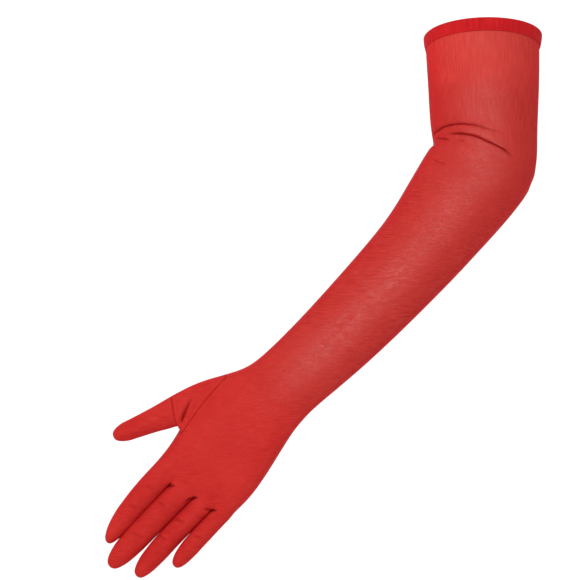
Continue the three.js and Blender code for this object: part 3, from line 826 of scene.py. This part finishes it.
def useGroup(tree, grouped, **values):
    # The group as a node, with its sockets set; _ stands for a space in a socket's name
    node = tree.nodes.new("ShaderNodeGroup")
    node.node_tree = grouped
    for label, value in values.items():
        put(tree, node.inputs[label.replace("_", " ")], value)
    return node.outputs


# Sheer cloth. Its linear colours are the yarn's, a deep one where it is uneven, painted shade in its folds,
# painted light showing through where it faces the front and back, and painted shade at its sides. A hole's
# radius is in cells, at the hem, on the arm and from the hand on. Pale is how much of the painted
# see-through colour shows. Ends are the heights in mm from the hem along the cloth between which a value
# changes
tulle = {
    # Below, the fold colour is painted shade in fold valleys and also darkens the seams, the face-on colour
    # after it is painted light showing through the cloth, and the side colour is painted shade
    "yarn": (0.57, 0.031, 0.025, 1), "deep": (0.43, 0.013, 0.012, 1), "fold": (0.22, 0.002, 0.003, 1),
    "seeThroughLight": (0.58, 0.085, 0.067, 1), "side": (0.55, 0.013, 0.015, 1), "sideShadeShare": 0.75,
    "roughness": 0.7, "specular": 0.05, "wales": 28.0, "course": 0.48, "soft": 0.12,
    "holeAtHem": 0.06, "hole": 0.255, "holeAtHand": 0.15, "unevenHole": 0.02,
    "hemEnds": (26.0, 58.0), "handEnds": (290.0, 370.0), "fingerEnds": (400.0, 460.0), "fingerTone": -0.4,
    "paleAtHem": 0.4, "pale": 0.28, "paleHand": 0.1, "creaseWidth": 1.3,
    "ribCount": 14.0, "ribs": 1.1, "lines": 1.15, "patches": 0.3, "bump": 0.2, "bumpMm": 0.08,
}
# The hem and the seams are the same cloth doubled, so nearly opaque and darker
doubled = {
    **tulle, "yarn": (0.56, 0.014, 0.016, 1), "deep": (0.40, 0.007, 0.010, 1), "sideShadeShare": 0.0,
    "soft": 0.04, "holeAtHem": 0.08, "hole": 0.08, "holeAtHand": 0.08, "unevenHole": 0.0,
    "fingerTone": 0.0, "paleAtHem": 0.0, "pale": 0.0, "ribs": 0.8, "lines": 0.0, "bump": 0.4, "bumpMm": 0.15,
}


def attribute(tree, name):
    node = tree.nodes.new("ShaderNodeAttribute")
    node.attribute_name = name
    return node.outputs["Fac"]


def clothMaterial(name, look):
    material, tree, shader = newMaterial(name, {"Roughness": look["roughness"],
                                                "Specular IOR Level": look["specular"]})
    uv = tree.nodes.new("ShaderNodeUVMap")
    uv.uv_map = "UVMap"
    uv = uv.outputs[0]
    place = tree.nodes.new("ShaderNodeTexCoord").outputs["Object"]
    height, depth = parts(tree, uv)[1], parts(tree, place)[1]
    tone = useGroup(tree, toneTree, UV=uv, Place=place, Rib_Count=look["ribCount"], Ribs=look["ribs"],
                    Lines=look["lines"])
    patches = calc(tree, "MULTIPLY", tone["Patch"], look["patches"])
    unevenness = calc(tree, "ADD", calc(tree, "ADD", tone["Rib"], tone["Line"]), patches)

    # how near a point lies to the bottom of a fold, times how dark the shade painted there is, which also
    # closes the net there; on the seam threads a fixed share
    apart = calc(tree, "ABSOLUTE", attribute(tree, "foldDistance"))
    crease = calc(tree, "MULTIPLY", attribute(tree, "fold"), remap(
        tree, apart, 0.0, look["creaseWidth"], 1.0, 0.0, smooth=True))

    # the net, which is closed below the hem on the front
    reach = weave["frontReach"]
    front = calc(tree, "ADD", height, remap(tree, depth, -reach, reach, 0.0, look["hemEnds"][1]))
    clear = remap(tree, front, *look["hemEnds"], 0.0, 1.0, smooth=True)
    bare = remap(tree, clear, 0.0, 1.0, look["holeAtHem"], look["hole"])
    hole = calc(tree, "ADD", calc(tree, "MULTIPLY", unevenness, look["unevenHole"]), remap(
        tree, height, *look["handEnds"], bare, look["holeAtHand"], smooth=True))
    net = useGroup(tree, netTree, UV=uv, Wales=look["wales"], Course=look["course"], Hole=hole,
                   Soft=look["soft"])
    put(tree, shader.inputs["Alpha"], calc(tree, "MAXIMUM", net["Cover"], crease))

    # the colour: uneven, paler with painted light showing through where it faces the front and back, deeper
    # at the fingers, deeper with painted shade at the sides and in the folds
    # painted light showing through the cloth: the paler colour mixes in where the cloth faces the front and
    # back, most below the hem on the front and least on the hand
    faceOn = attribute(tree, "faceOn")
    hand = remap(tree, height, *look["handEnds"], 1.0, look["paleHand"], smooth=True)
    pale = calc(tree, "MULTIPLY", calc(tree, "MULTIPLY", faceOn, hand), remap(
        tree, clear, 0.0, 1.0, look["paleAtHem"], look["pale"]))
    shade = remap(tree, calc(tree, "ADD", unevenness, remap(
        tree, height, *look["fingerEnds"], 0.0, look["fingerTone"], smooth=True)), -1.0, 1.0)
    colour = mixColours(tree, pale, mixColours(tree, shade, look["deep"], look["yarn"]), look["seeThroughLight"])
    # painted shade at the sides: the side colour mixes in where the cloth turns away from the front and back
    side = remap(tree, faceOn, 0.0, weave["sideReach"], look["sideShadeShare"], 0.0, smooth=True)
    colour = mixColours(tree, side, colour, look["side"])
    # painted shade in the folds: the fold colour mixes in along their valleys, and over the seam threads for
    # their dark line
    put(tree, shader.inputs["Base Color"], mixColours(tree, crease, colour, look["fold"]))

    bump = tree.nodes.new("ShaderNodeBump")
    bump.inputs["Strength"].default_value = look["bump"]
    bump.inputs["Distance"].default_value = look["bumpMm"] * mm
    put(tree, bump.inputs["Height"], calc(tree, "ADD", net["Yarn"], calc(
        tree, "MULTIPLY", unevenness, weave["bumpShare"])))
    put(tree, shader.inputs["Normal"], bump.outputs[0])
    return material


print("materials")
tulleCloth, doubledCloth = clothMaterial("tulle", tulle), clothMaterial("doubledTulle", doubled)


def dress(piece, material, slotName, *nodes):
    piece.data.materials.append(material)
    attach(piece, "root")
    if nodes:
        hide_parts(*nodes)


dress(panels["palmPanel"], tulleCloth, "tulle", "palm_panel")
dress(panels["backPanel"], tulleCloth, "tulle", "back_panel")
dress(panels["thumbGusset"], tulleCloth, "tulle", "thumb_gusset")
dress(panels["thumb"], tulleCloth, "tulle", "thumb")
dress(hemPiece, doubledCloth, "doubled_tulle", "hem_band")
for thread in threads:
    dress(thread, doubledCloth, "doubled_tulle")

# A pale floor that rises into a wall, in metres, soft lights and the camera
studio = {"floor": -0.62, "wall": 2.6, "front": -2.6, "half": 3.2, "top": 2.4, "bend": 0.6,
          "colour": (0.86, 0.86, 0.86, 1), "roughness": 0.9, "white": (1, 1, 1, 1), "world": 0.9}
lights = [
    {"name": "keyLight", "place": (-1.0, -1.5, 0.35), "target": (-0.15, 0, -0.2), "size": 1.0, "power": 14},
    {"name": "wallLight", "place": (-0.15, 1.5, 1.6), "target": (-0.15, 2.6, -0.2), "size": 1.6, "power": 20},
]


def sweep():
    # A floor that turns up into a wall through a quarter circle, carried straight across
    turn = np.linspace(0, np.pi / 2, 17)
    bend, wall, floor = studio["bend"], studio["wall"], studio["floor"]
    y = np.concatenate([[studio["front"]], wall - bend + bend * np.sin(turn), [wall]])
    z = np.concatenate([[floor], floor + bend * (1 - np.cos(turn)), [studio["top"]]])
    x = np.linspace(-studio["half"], studio["half"], 9) + cameraSpot["x"] * mm
    points = np.stack([np.tile(x, len(y)), np.repeat(y, len(x)), np.repeat(z, len(x))], 1)
    row, column = np.meshgrid(np.arange(len(y) - 1), np.arange(len(x) - 1), indexing="ij")
    a = (row * len(x) + column).ravel()
    faces = np.stack([a, a + 1, a + 1 + len(x), a + len(x)], 1)
    return meshObject("studioSweep", points / mm, faces)


def areaLight(name, place, target, size, power):
    # A round light at its place, in metres, turned to its target
    data = bpy.data.lights.new(name, "AREA")
    data.shape, data.size, data.energy = "DISK", size, power
    light = bpy.data.objects.new(name, data)
    direction = np.array(target, float) - np.array(place, float)
    light.location = place
    light.rotation_euler = (
        math.atan2(math.hypot(direction[0], direction[1]), -direction[2]), 0,
        math.atan2(direction[1], direction[0]) - math.pi / 2)
    bpy.context.collection.objects.link(light)


print("studio")
backdrop = sweep()
paper, _, _ = newMaterial("paper", {"Base Color": studio["colour"], "Roughness": studio["roughness"]})
backdrop.data.materials.append(paper)
world = bpy.data.worlds.new("studioLight")
world.use_nodes = True
sky = world.node_tree.nodes["Background"]
sky.inputs["Color"].default_value = studio["white"]
sky.inputs["Strength"].default_value = studio["world"]
bpy.context.scene.world = world
for light in lights:
    areaLight(**light)

camera = bpy.data.cameras.new("photoCamera")
camera.sensor_width = cameraSpot["sensor"]
camera.lens = cameraSpot["sensor"] * cameraSpot["away"] / cameraSpot["frame"]
cameraObject = bpy.data.objects.new("photoCamera", camera)
cameraObject.location = (cameraSpot["x"] * mm, -cameraSpot["away"] * mm, cameraSpot["z"] * mm)
cameraObject.rotation_euler = (math.pi / 2, 0, 0)
bpy.context.collection.objects.link(cameraObject)
bpy.context.scene.camera = cameraObject
bpy.context.scene.view_settings.view_transform = "Standard"
